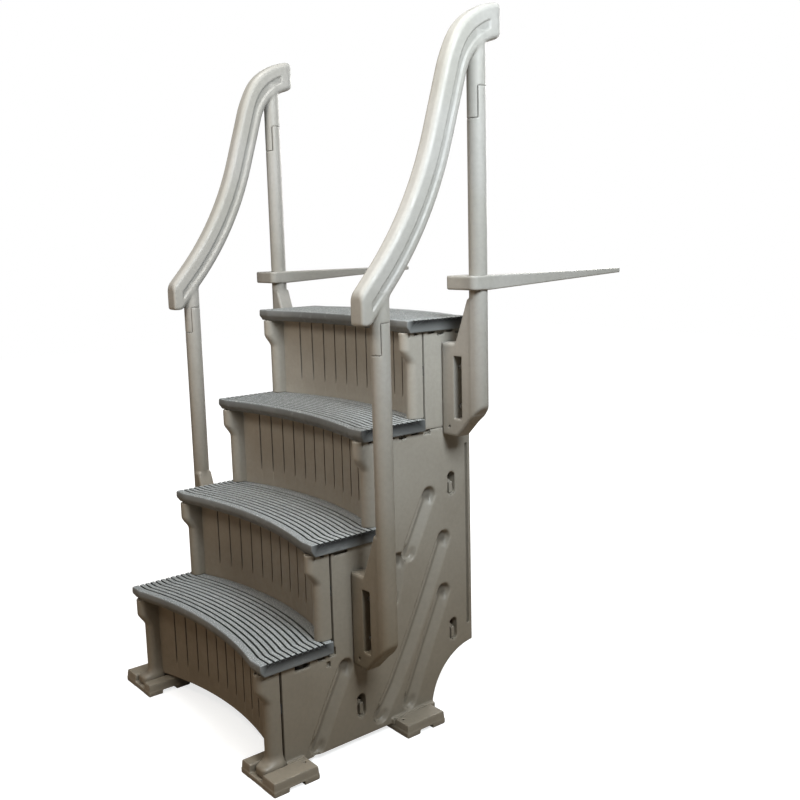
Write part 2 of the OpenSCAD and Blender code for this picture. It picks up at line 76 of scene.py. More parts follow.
# Posts: radius, length up to the lap joint, length of the lap, and (Y, Z) of each post's lower end
POST_R = 22.5
POST_L = 766
LAP_L = 72
LAP_Y = -12
LAP_GAP = 0.8
FRONT_POST = (288, 213)
REAR_POST = (592, 741)

# Bolts through a post's flange: radius of the holes and their heights above the post's lower end
BOLT_R = 4.2
BOLT_HEIGHTS = (76, 176)

# Reach past a surface that makes a cut come out clean
PAST = 9

# ------------------------------------------------------------------ distance fields

FAR = 1e18


def length(*parts):
    return np.sqrt(sum(p * p for p in parts))


def ease(t):
    """0 below 0, 1 above 1, and a smooth step between."""
    t = np.clip(t, 0, 1)
    return t * t * (3 - 2 * t)


def join(a, b, k):
    """Union of two fields with a fillet of size k."""
    h = np.clip(0.5 + 0.5 * (b - a) / k, 0, 1)
    return b * (1 - h) + a * h - k * h * (1 - h)


def meet(a, b, k):
    """Intersection of two fields with a rounded edge of size k."""
    return -join(-a, -b, k)


def cut(a, b, k=1.0):
    """Field a with field b taken out of it."""
    return meet(a, -b, k)


def span(t, lo, hi):
    """Distance to the stretch from lo to hi, negative inside it."""
    return np.abs(t - (lo + hi) / 2) - (hi - lo) / 2


def slab(flat, thick, r):
    """A flat outline given a thickness, with edges of radius r."""
    a, b = flat + r, thick + r
    return length(np.maximum(a, 0), np.maximum(b, 0)) + np.minimum(np.maximum(a, b), 0) - r


def block(p, lo, hi, r):
    """A box from corner lo to corner hi with edges of radius r."""
    q = [span(t, a, b) + r for t, a, b in zip(p, lo, hi)]
    inner = np.maximum(np.maximum(q[0], q[1]), q[2])
    return length(*[np.maximum(v, 0) for v in q]) + np.minimum(inner, 0) - r


def outline(u, v, points):
    """Signed distance to a closed flat outline."""
    best, flip = FAR, 1.0
    for (a0, a1), (b0, b1) in zip(points, points[1:] + points[:1]):
        e0, e1, w0, w1 = b0 - a0, b1 - a1, u - a0, v - a1
        t = np.clip((w0 * e0 + w1 * e1) / (e0 * e0 + e1 * e1), 0, 1)
        best = np.minimum(best, (w0 - e0 * t) ** 2 + (w1 - e1 * t) ** 2)
        above, below, left = v >= a1, v < b1, e0 * w1 > e1 * w0
        crossing = (above & below & left) | (~above & ~below & ~left)
        flip = flip * np.where(crossing, -1.0, 1.0)
    return np.sqrt(best) * flip


def along(u, v, path):
    """Distance to a path, the side of it (+1 is left) and how far along it the nearest point is."""
    best, side, place, run = FAR, 1.0, 0.0, 0.0
    for (a0, a1), (b0, b1) in zip(path, path[1:]):
        e0, e1 = b0 - a0, b1 - a1
        size = math.hypot(e0, e1)
        t = np.clip(((u - a0) * e0 + (v - a1) * e1) / size**2, 0, 1)
        d0, d1 = u - a0 - e0 * t, v - a1 - e1 * t
        d = d0 * d0 + d1 * d1
        near = d < best
        best = np.where(near, d, best)
        side = np.where(near, np.sign(e0 * d1 - e1 * d0), side)
        place = np.where(near, run + t * size, place)
        run += size
    return np.sqrt(best), side, place


# ------------------------------------------------------------------ meshes


def to_frame(points):
    p = np.asarray(points, float) / MM
    p[:, 1] += FRONT
    return p


def make_mesh(name, points, faces, slot, body="frame", stands_for=(), painted_shade=None, sharp=40):
    """One piece of the object; the per-point shade values (0 to 1 at each point) darken it as painted shade
    in grooves, flutes and dents.
    """
    mesh = bpy.data.meshes.new(name)
    mesh.from_pydata(to_frame(points).tolist(), [], faces)
    if painted_shade is not None:
        layer = mesh.attributes.new("painted_shade", "FLOAT", "POINT")
        layer.data.foreach_set("value", np.asarray(painted_shade, np.float32))
    mesh.shade_smooth()
    mesh.set_sharp_from_angle(angle=math.radians(sharp))
    obj = bpy.data.objects.new(name, mesh)
    bpy.context.scene.collection.objects.link(obj)
    mesh.materials.append(MATERIALS[slot])
    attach(obj, body)
    if stands_for:
        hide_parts(*stands_for)
    return obj


def edge_crossings(value, inside, axis, cells):
    """Where the surface crosses the grid's edges along one axis, and the cells round each crossing."""
    near, far = [slice(None)] * 3, [slice(None)] * 3
    near[axis], far[axis] = slice(None, -1), slice(1, None)
    near, far = tuple(near), tuple(far)
    index = np.argwhere(inside[near] != inside[far])
    v0, v1 = value[near][tuple(index.T)], value[far][tuple(index.T)]
    point = index.astype(float)
    point[:, axis] += v0 / (v0 - v1)
    a, b = [i for i in range(3) if i != axis]
    ring = []
    for da, db in ((1, 1), (0, 1), (0, 0), (1, 0)):
        cell = index.copy()
        cell[:, a] -= da
        cell[:, b] -= db
        ring.append(np.ravel_multi_index(cell.T, cells))
    ring = np.stack(ring, 1)
    turn = (v0 < 0) == (axis == 1)
    ring[turn] = ring[turn][:, ::-1]
    return point, ring


def settle(field, points, step):
    """Moves points onto the surface along the field's slope."""
    h, limit = 0.05, 0.4 * min(step)

    def rise_along(d):
        return (field(*(points + d).T) - field(*(points - d).T)) / (2 * h)

    for _ in range(3):
        value = field(*points.T)
        slope = np.stack([rise_along(d) for d in np.eye(3) * h], 1)
        move = slope * (value / np.maximum((slope**2).sum(1), 0.05))[:, None]
        size = np.maximum(np.linalg.norm(move, axis=1), 1e-9)
        points = points - move * np.minimum(1, limit / size)[:, None]
    return points


def shape(field, lo, hi, step):
    """Points and faces of the surface where the field is 0."""
    axes = [np.arange(a - 3 * s, b + 4 * s, s) for a, b, s in zip(lo, hi, step)]
    grid = np.meshgrid(*axes, indexing="ij", sparse=True)
    value = np.broadcast_to(field(*grid), [len(a) for a in axes])
    inside = value < 0
    cells = tuple(n - 1 for n in value.shape)
    total, count = np.zeros((math.prod(cells), 3)), np.zeros(math.prod(cells))
    rings = []
    for axis in range(3):
        point, ring = edge_crossings(value, inside, axis, cells)
        for cell in ring.T:
            count += np.bincount(cell, minlength=len(count))
            for k in range(3):
                total[:, k] += np.bincount(cell, point[:, k], minlength=len(count))
        rings.append(ring)
    used = np.flatnonzero(count)
    new_index = np.zeros(len(count), int)
    new_index[used] = np.arange(len(used))
    origin = np.array([a[0] for a in axes])
    points = origin + total[used] / count[used][:, None] * np.array(step)
    return settle(field, points, step), new_index[np.concatenate(rings)].tolist()


def mirrored(points, faces):
    return points * np.array([-1, 1, 1]), [f[::-1] for f in faces]


def sheet(rows):
    """Points and faces of a grid of points, rows[i][j]."""
    rows = np.asarray(rows, float)
    n, m = rows.shape[:2]
    faces = [
        (i * m + j, i * m + j + 1, (i + 1) * m + j + 1, (i + 1) * m + j)
        for i in range(n - 1)
        for j in range(m - 1)
    ]
    return rows.reshape(-1, 3), faces


def together(*parts):
    """Several (points, faces) pairs as one."""
    points, faces, base = [], [], 0
    for p, f in parts:
        points.append(p)
        faces += [tuple(i + base for i in face) for face in f]
        base += len(p)
    return np.concatenate(points), faces


# ------------------------------------------------------------------ materials


class Nodes:
    """Short way to write a node material."""

    def __init__(self, name):
        self.material = bpy.data.materials.new(name)
        self.material.use_nodes = True
        self.tree = self.material.node_tree
        self.shader = self.tree.nodes["Principled BSDF"]
        self.place = self.add("ShaderNodeTexCoord").outputs["Object"]

    def add(self, kind, **settings):
        node = self.tree.nodes.new(kind)
        for key, value in settings.items():
            setattr(node, key, value)
        return node

    def link(self, out, into):
        self.tree.links.new(out, into)

    def noise(self, scale, detail=3, rough=0.5, stretch=None):
        node = self.add("ShaderNodeTexNoise")
        place = self.place
        if stretch:
            mapping = self.add("ShaderNodeMapping")
            mapping.inputs["Scale"].default_value = stretch
            self.link(place, mapping.inputs["Vector"])
            place = mapping.outputs["Vector"]
        self.link(place, node.inputs["Vector"])
        node.inputs["Scale"].default_value = scale
        node.inputs["Detail"].default_value = detail
        node.inputs["Roughness"].default_value = rough
        return node.outputs["Fac"]

    def painted_shade(self):
        # Per-point painted shade for grooves, flutes and dents.
        node = self.add("ShaderNodeAttribute", attribute_name="painted_shade")
        return node.outputs["Fac"]

    def ramp(self, value, lo, hi, out_lo=0.0, out_hi=1.0):
        node = self.add("ShaderNodeMapRange", interpolation_type="SMOOTHSTEP")
        for key, number in zip(("From Min", "From Max", "To Min", "To Max"), (lo, hi, out_lo, out_hi)):
            node.inputs[key].default_value = number
        self.link(value, node.inputs["Value"])
        return node.outputs["Result"]

    def mix(self, factor, a, b, blend="MIX"):
        node = self.add("ShaderNodeMix", data_type="RGBA", blend_type=blend)
        for key, value in ((0, factor), (6, a), (7, b)):
            if isinstance(value, (tuple, float, int)):
                node.inputs[key].default_value = value
            else:
                self.link(value, node.inputs[key])
        return node.outputs[2]

    def bump(self, height, distance, strength=1.0, normal=None):
        node = self.add("ShaderNodeBump")
        node.inputs["Distance"].default_value = distance
        node.inputs["Strength"].default_value = strength
        self.link(height, node.inputs["Height"])
        if normal:
            self.link(normal, node.inputs["Normal"])
        return node.outputs["Normal"]

    def put(self, key, value):
        if isinstance(value, (tuple, float, int)):
            self.shader.inputs[key].default_value = value
        else:
            self.link(value, self.shader.inputs[key])


def srgb(r, g, b):
    """A linear colour from 0-255 screen values."""
    return tuple(((c / 255 + 0.055) / 1.055) ** 2.4 for c in (r, g, b)) + (1.0,)


def scaled(colour, factor):
    return tuple(c * factor for c in colour[:3]) + (1.0,)


def shaded_towards_floor(n, colour, strength, top):
    """The colour with painted warm shade towards the floor, browner lower down; top is the height in metres
    where the painted shade ends.
    """
    height = n.add("ShaderNodeSeparateXYZ")
    n.link(n.place, height.inputs["Vector"])
    low = n.ramp(height.outputs["Z"], 0.05, top, strength, 0.0)
    return n.mix(low, colour, n.mix(1.0, colour, (0.34, 0.26, 0.15, 1.0), "MULTIPLY"))


def plastic(name, base, warm, rub=0.25, floor_shade=0.0, floor_shade_top=1.1):
    """Moulded plastic: cloudy colour, fine pebbled skin, paler rubbed edges, painted shade in corners,
    grooves and dents, and painted warm shade towards the floor.
    """
    n = Nodes(name)
    cloud = n.ramp(n.noise(5, 4), 0.35, 0.65)
    colour = n.mix(cloud, base, warm)
    mottle = n.ramp(n.noise(90, 4, 0.6), 0.3, 0.7)
    colour = n.mix(mottle, colour, n.mix(0.16, colour, scaled(base, 0.55)))
    edge = n.add("ShaderNodeNewGeometry").outputs["Pointiness"]
    worn = n.ramp(edge, 0.53, 0.62, 0.0, rub)
    colour = n.mix(worn, colour, scaled(base, 1.5))
    # Painted shade in concave corners and creases, found from low pointiness.
    crease_shade = n.ramp(edge, 0.40, 0.48, 0.55, 0.0)
    colour = n.mix(crease_shade, colour, scaled(base, 0.35))
    # Painted shade in grooves, flutes and dents, from the per-point shade values.
    colour = n.mix(n.painted_shade(), colour, scaled(base, 0.12))
    # Painted warm shade darkens the colour towards the floor.
    n.put("Base Color", shaded_towards_floor(n, colour, floor_shade, floor_shade_top))
    n.put("Roughness", n.ramp(n.noise(35, 3), 0.3, 0.7, 0.42, 0.58))
    waves = n.bump(n.noise(28, 2), 0.0006, 0.5)
    n.put("Normal", n.bump(n.noise(1500, 2, 0.7), 0.00012, 0.7, waves))
    return n.material


def tread_plastic():
    """Dark grey tread: sandy non-slip top with pale specks, smooth flanks darkened as painted shade,
    painted shade in creases and grooves, scuffed edges.
    """
    base, light = srgb(120, 123, 123), srgb(144, 147, 146)
    n = Nodes("tread_plastic")
    geometry = n.add("ShaderNodeNewGeometry")
    split = n.add("ShaderNodeSeparateXYZ")
    n.link(geometry.outputs["Normal"], split.inputs["Vector"])
    top = n.ramp(split.outputs["Z"], 0.5, 0.9)
    colour = n.mix(n.ramp(n.noise(6, 4), 0.35, 0.65), base, light)
    specks = n.ramp(n.noise(330, 2, 0.8), 0.5, 0.68)
    speckled = n.mix(specks, scaled(base, 0.86), scaled(light, 1.85))
    # Faces that don't point up get darker flanks as painted shade; the top gets the pale specks.
    colour = n.mix(top, n.mix(0.55, colour, scaled(base, 0.3)), speckled)
    scuff = n.ramp(n.noise(40, 5, 0.7, (1, 0.25, 1)), 0.55, 0.75, 0.0, 0.25)
    colour = n.mix(scuff, colour, scaled(light, 1.4))
    edge = geometry.outputs["Pointiness"]
    colour = n.mix(n.ramp(edge, 0.53, 0.60, 0.0, 0.4), colour, scaled(light, 1.6))
    # Painted shade in concave creases, found from low pointiness.
    colour = n.mix(n.ramp(edge, 0.40, 0.48, 0.75, 0.0), colour, scaled(base, 0.18))
    # Painted shade in the grooves of the top, from the per-point shade values.
    colour = n.mix(n.painted_shade(), colour, scaled(base, 0.05))
    n.put("Base Color", colour)
    n.put("Roughness", n.ramp(n.noise(50, 3), 0.3, 0.7, 0.5, 0.68))
    n.put("Normal", n.bump(n.noise(330, 2, 0.8), 0.0006, 0.8))
    return n.material


def steel():
    """Stainless fasteners: brushed, slightly stained."""
    n = Nodes("steel")
    stain = n.ramp(n.noise(120, 4), 0.45, 0.7)
    n.put("Base Color", n.mix(stain, srgb(196, 198, 200), srgb(160, 158, 152)))
    n.put("Metallic", 1.0)
    n.put("Roughness", n.ramp(n.noise(300, 3), 0.3, 0.7, 0.22, 0.42))
    n.put("Normal", n.bump(n.noise(900, 2, 0.6, (1, 1, 0.1)), 0.0001, 0.5))
    return n.material


def paper():
    """Plain pale floor that glows to the camera, and throws only a little warm light on the ladder."""
    n = Nodes("pale_floor")
    seen = n.add("ShaderNodeLightPath").outputs["Is Camera Ray"]
    pale = n.mix(n.noise(3), srgb(250, 250, 250), srgb(246, 246, 245))
    shown = n.mix(1.0, pale, (0.5, 0.5, 0.5, 1.0), "MULTIPLY")
    n.put("Base Color", n.mix(seen, (0.2, 0.15, 0.1, 1.0), shown))
    n.put("Roughness", n.ramp(n.noise(20), 0.3, 0.7, 0.8, 0.95))
    n.put("Emission Color", pale)
    away = n.add("ShaderNodeVectorMath", operation="LENGTH")
    n.link(n.place, away.inputs[0])
    glow = n.add("ShaderNodeMath", operation="MULTIPLY")
    n.link(n.ramp(away.outputs["Value"], 0.8, 2.6, 0.8, 1.12), glow.inputs[0])
    n.link(seen, glow.inputs[1])
    n.put("Emission Strength", glow.outputs[0])
    return n.material


BODY_COLOURS = srgb(166, 162, 153), srgb(158, 153, 143)
RAIL_COLOURS = srgb(172, 170, 165), srgb(165, 163, 156)
MATERIALS = {
    # The body and the rails take painted warm shade towards the floor.
    "body_plastic": plastic("body_plastic", *BODY_COLOURS, floor_shade=0.62),
    "rail_plastic": plastic("rail_plastic", *RAIL_COLOURS, rub=0.15, floor_shade=0.9, floor_shade_top=1.4),
    "tread_plastic": tread_plastic(),
    "plug_plastic": plastic("plug_plastic", srgb(34, 34, 36), srgb(40, 40, 40)),
    "steel": steel(),
}

# ------------------------------------------------------------------ treads

END_FLAT = 45  # straight stretch at each end of the front edge
NOSE_SAG = 37  # how far the middle of the front edge sits back
REAR_HALF = 296
REAR_BULGE = 52
TREAD_DEPTH = 204
END_ROUND = 2.5
GROOVES = 11
GROOVE_FIRST = 20
GROOVE_PITCH = 15.5
GROOVE_DEPTH = 4.2


def bow(x, half, sag):
    """Height of a circular arc over its chord; 0 outside the chord."""
    r = (half * half + sag * sag) / (2 * sag)
    inside = np.clip(np.abs(x), 0, half)
    return np.sqrt(r * r - inside * inside) - (r - sag)


def tread_profile():
    """Section points: distance behind the front edge (or before the rear one), height, outward Y and Z."""
    t, low = TREAD_T, TREAD_T - GROOVE_DEPTH
    front = [(40, 0, 0, -1), (12, 0, 0, -1), (9.4, 0.6, 1, -1), (8, 2.4, 1, -0.6), (6.4, 5.5, 1, -0.5)]
    front += [(2.2, 10.6, 1, -0.5), (0.7, 13, 1, -0.4), (0.2, 15.4, 1, -0.2), (0, 18, 1, 0)]
    front += [(0.6, 27.6, 1, 0.2), (1.2, 29.4, 1, 0.6), (2.6, 30.6, 0.6, 1), (4.4, t, 0, 1)]
    for i in range(GROOVES):
        y = GROOVE_FIRST + GROOVE_PITCH * i
        front += [(y - 1.4, t, 0, 1), (y - 0.8, t - 0.6, 0, 1), (y - 0.6, low, 0, 1)]
        front += [(y + 4.2, low, 0, 1), (y + 4.4, t - 0.6, 0, 1), (y + 5.2, t, 0, 1)]
    rear = [(4, t, 0, 1), (1.2, t - 1.2, -0.6, 0.6), (0, t - 4, -1, 0), (0, 4, -1, 0), (1.5, 1, -0.6, -0.6)]
    rear += [(4, 0, 0, -1), (30, 0, 0, -1)]
    return front, rear


def tread_columns():
    """Places across a tread: closer together where the front edge bends and at the rounded ends."""
    inner = np.linspace(-1, 1, 97) * (TREAD_HALF - END_FLAT)
    flat = np.linspace(TREAD_HALF - END_FLAT, TREAD_HALF - END_ROUND, 7)[1:]
    return np.concatenate([-flat[::-1], inner, flat])


def tread_groove_shade(points):
    """Painted shade in the grooves of the top."""
    depth = TREAD_T - points[:, 2]
    start = bow(points[:, 0], TREAD_HALF - END_FLAT, NOSE_SAG)
    on_top = (points[:, 1] - start > 15) & (points[:, 1] - start < TREAD_DEPTH - 8)
    return np.where(on_top & (depth < 8), ease((depth - 0.2) / 1.2), 0)


def tread_loop(x, inset):
    """The section at one place across, drawn in by inset."""
    front, rear = tread_profile()
    rows = []
    start = bow(x, TREAD_HALF - END_FLAT, NOSE_SAG)
    end = TREAD_DEPTH + bow(x, REAR_HALF, REAR_BULGE)
    for y, z, ny, nz in front:
        rows.append((x, start + y + inset * ny, z - inset * nz))
    for y, z, ny, nz in rear:
        rows.append((x, end - y + inset * ny, z - inset * nz))
    return rows


def tread_shape():
    turns = (0.4, 0.8, 1.2, math.pi / 2)
    edge = [(TREAD_HALF - END_ROUND * (1 - math.sin(a)), END_ROUND * (1 - math.cos(a))) for a in turns]
    loops = [tread_loop(-x, i) for x, i in edge[::-1]]
    loops += [tread_loop(x, 0) for x in tread_columns()]
    loops += [tread_loop(x, i) for x, i in edge]
    m, n = len(loops[0]), len(loops)
    loops = [loop + loop[:1] for loop in loops]
    points, faces = sheet(loops)
    wide = m + 1
    faces.append(tuple(range(m - 1, -1, -1)))
    faces.append(tuple((n - 1) * wide + j for j in range(m)))
    return points, [f[::-1] for f in faces]


def build_treads():
    points, faces = tread_shape()
    painted_shade = tread_groove_shade(points)
    for n in range(STEPS):
        move = np.array([0, n * GOING, FIRST_TOP - TREAD_T + n * RISE])
        name = f"tread_shell_{n + 1}"
        make_mesh(name, points + move, faces, "tread_plastic", "frame", [f"tread_{n + 1}"], painted_shade)


# ------------------------------------------------------------------ risers

COL_W = 36
COL_FRONT = 20
COL_REAR = 55
CAPITAL_DROP = 80  # how far below the tread the column starts to lean forward
CAPITAL_RISE = 40
CAPITAL_OUT = 20
RISER_FACE = 52
RISER_HALF = 296
RISER_SAG = 46
RISER_T = 6
FIRST_WALL_Z = 40
FLUTES = 11
FLUTE_PITCH = 47.3
FLUTE_DEPTH = 2.8
PLAIN_BAND = 41  # height of the plain band below the flutes
BOOT_OUT = 9
BOOT_TOP = 40


def riser_front(x):
    return RISER_FACE + bow(x, RISER_HALF, RISER_SAG)


def column_field(z0, z1, boot):
    """A riser's corner column: round front, S-curved capital under the tread, boot at the floor."""
    x0 = SIDE_X - COL_W

    def field(x, y, z):
        front = COL_FRONT - CAPITAL_OUT * ease((z - (z1 - CAPITAL_DROP)) / CAPITAL_RISE)
        r = COL_W / 2
        u, v = x - x0 - r, y - front - r
        nose = length(u, v) - r
        plan = np.where(v < 0, nose, np.maximum(np.abs(u) - r, y - COL_REAR))
        body = slab(plan, span(z, z0, z1), 2.5)
        notch = block((x, y, z), (SIDE_X - 9, 30, z1 - 7), (SIDE_X + PAST, 41, z1 + PAST), 1)
        slit = block((x, y, z), (SIDE_X - 3, 14, z1 - 12), (SIDE_X + PAST, 16.5, z1 + PAST), 0.5)
        body = cut(cut(body, notch), slit)
        if boot:
            plan = slab(span(x, x0, SIDE_X + BOOT_OUT), span(y, -3, COL_REAR), 14)
            lobe = slab(plan, span(z, z0, BOOT_TOP), 9)
            body = meet(join(body, lobe, 22), z0 - z, 2)
        return body

    return field


def flute_columns():
    """(place across, depth) pairs of the fluted wall."""
    half = SIDE_X - COL_W + 3
    r = (RISER_HALF**2 + RISER_SAG**2) / (2 * RISER_SAG)
    marks = [(-half, 0.0)]
    for i in range(FLUTES):
        x = r * math.sin((i - (FLUTES - 1) / 2) * FLUTE_PITCH / r)
        marks += [(x - 3.2, 0.0), (x - 2.4, 0.4), (x - 2.2, FLUTE_DEPTH)]
        marks += [(x + 2.0, FLUTE_DEPTH), (x + 2.4, 0.4), (x + 3.6, 0.0)]
    marks.append((half, 0.0))
    dense = []
    for (x0, d0), (x1, d1) in zip(marks, marks[1:]):
        parts = 5 if x1 - x0 > 10 else 1
        dense += [(x0 + (x1 - x0) * k / parts, d0 + (d1 - d0) * k / parts) for k in range(parts)]
    return dense + marks[-1:]


def wall_shape(z0, z1):
    """One riser's curved wall; its flutes open above the plain band."""
    band = z0 + PLAIN_BAND
    full = band + 8
    levels = [(z0, 0), (band, 0), (band + 1, 0.3), (full, 1)]
    levels += [(full + (z1 - full) * k / 6, 1) for k in range(1, 7)]
    marks = flute_columns()
    face = [[(x, riser_front(x) + d * opening, z) for x, d in marks] for z, opening in levels]
    back = [[(x, riser_front(x) + RISER_T, z) for x, _ in marks] for z in (z1, z0)]
    return sheet(face + back + face[:1])


def flute_shade(points, wall_z):
    """Painted shade in the flutes, clear of their sloping lower ends."""
    x, y, z = points.T
    depth = y - riser_front(x)
    in_flute = (np.abs(x) < RISER_HALF - 6) & (depth > 0.8) & (depth < 4)
    return (in_flute & (z > wall_z + PLAIN_BAND + 9)) * 0.75


def build_risers():
    for n in range(1, STEPS + 1):
        base = FLOOR_GAP if n == 1 else FIRST_TOP + (n - 2) * RISE
        top = FIRST_TOP + (n - 1) * RISE - TREAD_T
        wall_z = FIRST_WALL_Z if n == 1 else base
        field = column_field(base, top, n == 1)
        low, high = (SIDE_X - COL_W - 8, -9, base - 4), (SIDE_X + 14, COL_REAR + 6, top)
        side = shape(field, low, high, (2.2, 2.2, 2.6))
        points, faces = together(wall_shape(wall_z, top), side, mirrored(*side))
        painted_shade = flute_shade(points, wall_z)
        points = points + np.array([0, (n - 1) * GOING, 0])
        make_mesh(f"riser_wall_{n}", points, faces, "body_plastic", "frame", [f"riser_{n}"], painted_shade)


# ------------------------------------------------------------------ side panels

PANEL_EDGE = 3.5
CUT_R = 157  # round cut-away at the rear lower corner
LEG_Y = 520  # rear edge of the rear leg

# Long dents pressed into both faces: their centre lines in (Y, Z), half width, and section
RECESSES = [
    [(521, 590), (451, 452)],
    [(569, 466), (505, 330), (450, 219), (396, 120), (348, 50)],
    [(566, 322), (500, 185), (441, 56)],
    [(244, 212), (196, 122), (153, 36)],
    [(416, 440), (402, 372), (392, 345)],
]
RECESS_R = 24
RECESS_ACROSS = [-24, -20, -11, -7, 3, 23]
RECESS_DEPTHS = [0, 8, 6.5, 14, 14, 0]
RECESS_END_DEPTH = 13
RECESS_END = 25

# Oval slots: centres in (Y, Z), radius of the ends, half the straight part
SLOTS = [(598, 607), (598, 209), (288, 97)]
SLOT_R = 13
SLOT_HALF = 18
REAR_GROOVE = (647, 656)
REAR_GROOVE_Z = (212, 706)

# Window for the fill plug, small catch dent, and the boots over the two feet, all as stretches in Y
WINDOW = (99, 141)
CATCH = (188, 200)
BOOTS = ((PANEL_FRONT, 113), (380, LEG_Y))
BOOT_Z = 31

# Joints with the pieces above: (tread whose underside is there, first and last gap in Y)
JOINTS = ((1, 160, 206), (3, 400, 520), (2, 222, 250))
UPPER_JOINT = (540, 630)


def under(n):
    """Height of a tread's underside."""
    return FIRST_TOP + (n - 1) * RISE - TREAD_T


def panel_outline():
    f, g = PANEL_FRONT, GOING
    return [
        (f, FLOOR_GAP),
        (f, under(1)),
        (f + g, under(1)),
        (f + g, under(2)),
        (f + 2 * g, under(2)),
        (f + 2 * g, under(3)),
        (PANEL_REAR, under(3)),
        (PANEL_REAR, FLOOR_GAP),
    ]


def recess_depth(y, z):
    """Depth of the dents: stepped and steep towards the front, soft towards the rear."""
    deep = 0.0
    for path in RECESSES:
        away, side, place = along(y, z, path)
        total = sum(math.dist(a, b) for a, b in zip(path, path[1:]))
        middle = ease(place / RECESS_END) * ease((total - place) / RECESS_END)
        across = np.interp(away * side, RECESS_ACROSS, RECESS_DEPTHS)
        cap = RECESS_END_DEPTH * ease((RECESS_R - away) / 10)
        deep = np.maximum(deep, across * middle + cap * (1 - middle))
    return deep


def recess_shade(points):
    """Painted shade at the top end of each dent and along its deepest line."""
    _, y, z = points.T
    dark = np.zeros(len(points))
    for path in RECESSES:
        away, side, place = along(y, z, path)
        # Painted shade along the deepest line, and a painted shadow in the pit at the top end.
        floor = 0.32 * ease((8 - np.abs(away * side + 4)) / 5)
        pit = 0.55 * ease((19 - away) / 8) * ease((20 - place) / 16)
        dark = np.maximum(dark, np.maximum(floor, pit))
    return dark


def pill(y, z, cy, cz, r, half):
    """An upright slot with round ends."""
    return length(y - cy, np.maximum(np.abs(z - cz) - half, 0)) - r


def joint_gaps(p, level, y0, y1):
    """Gaps between the interlocking teeth along the top edge of a panel."""
    gap = FAR
    for i, c in enumerate(np.linspace(y0, y1, 4)):
        deep = 12 if i % 2 else 6
        low, high = (SIDE_X - 10, c - 11, level - deep), (SIDE_X + PAST, c + 11, level + PAST)
        gap = np.minimum(gap, block(p, low, high, 1.2))
    return gap


def rear_groove(x, y, z, z0, z1):
    """Narrow upright groove near the rear edge of a side panel's face."""
    return slab(np.maximum(span(y, *REAR_GROOVE), span(z, z0, z1)), span(x, SIDE_X - 9, SIDE_X + PAST), 0.5)


def bolt_holes(body, y, z, post):
    """The panel's field with the holes for one post's flange bolts."""
    for up in BOLT_HEIGHTS:
        body = cut(body, length(y - post[0], z - post[1] - up) - BOLT_R, 0.5)
    return body


def lower_panel_field(x, y, z):
    p, top = (x, y, z), under(1)
    flat = outline(y, z, panel_outline())
    flat = cut(flat, length(y - LEG_Y - CUT_R, z - 5) - CUT_R, 2)
    deep = recess_depth(y, z)
    thick = np.maximum(x - (SIDE_X - deep), (SIDE_IN + deep) - x)
    body = slab(flat, thick, PANEL_EDGE)
    for cy, cz in SLOTS:
        body = cut(body, pill(y, z, cy, cz, SLOT_R, SLOT_HALF), 2.5)
    body = bolt_holes(body, y, z, FRONT_POST)
    body = cut(body, rear_groove(x, y, z, *REAR_GROOVE_Z), 1.5)
    window = block(p, (SIDE_IN + 5, WINDOW[0], top - 18), (SIDE_X + 20, WINDOW[1], top + 20), 5)
    body = cut(body, window, 2)
    catch = block(p, (SIDE_X - 8, CATCH[0], top - 36), (SIDE_X + PAST, CATCH[1], top - 22), 1)
    body = cut(body, catch, 1)
    for n, y0, y1 in JOINTS:
        body = cut(body, joint_gaps(p, under(n), y0, y1), 0.8)
    for a, b in BOOTS:
        boot = block(p, (SIDE_X - 12, a, FLOOR_GAP), (SIDE_X + 10, b, BOOT_Z), 3)
        body = join(body, boot, 5)
    return body


def upper_panel_field(x, y, z):
    lo, hi = UPPER
    flat = np.maximum(span(y, lo[1], hi[1]), span(z, lo[2], hi[2]))
    body = slab(flat, span(x, SIDE_IN, SIDE_X), PANEL_EDGE)
    body = cut(body, rear_groove(x, y, z, lo[2] + 12, hi[2] - 14), 1.5)
    body = bolt_holes(body, y, z, REAR_POST)
    return cut(body, joint_gaps((x, y, z), hi[2], *UPPER_JOINT), 0.8)


def build_panels():
    lo = (SIDE_IN, PANEL_FRONT, FLOOR_GAP)
    lower = shape(lower_panel_field, lo, (SIDE_X + 10, PANEL_REAR, under(3)), (2.6, 3.2, 3.2))
    upper = shape(upper_panel_field, UPPER[0], UPPER[1], (2.6, 2.8, 2.8))
    painted_shade = recess_shade(lower[0])
    for name, side in (("right", lambda s: s), ("left", lambda s: mirrored(*s))):
        nodes = [f"side_panel_{name}"], [f"upper_panel_{name}"]
        make_mesh(f"side_shell_{name}", *side(lower), "body_plastic", "frame", nodes[0], painted_shade)
        make_mesh(f"upper_shell_{name}", *side(upper), "body_plastic", "frame", nodes[1])


# ------------------------------------------------------------------ cross ties

TIE_R = 8.5
HOOK_IN = 8
HOOK_DROP = 29
HOOK_REAR = 10.5
TIE_MARGIN = (3, 5)  # room for the hook before and behind the tube


def tie_field(lo, hi):
    """A tube from side to side with a flat hook at each end, seen inside the panels' slots."""
    cy, cz = (lo[1] + hi[1]) / 2, (lo[2] + hi[2]) / 2
    end = hi[0] - HOOK_IN

    def field(x, y, z):
        tube = meet(length(y - cy, z - cz) - TIE_R, np.abs(x) - end + 8, 1)
        low, high = (end - 14, cy - 1, cz - HOOK_DROP), (end, cy + HOOK_REAR, cz + 1)
        hook = block((np.abs(x), y, z), low, high, 2)
        return join(tube, hook, 2)

    return field


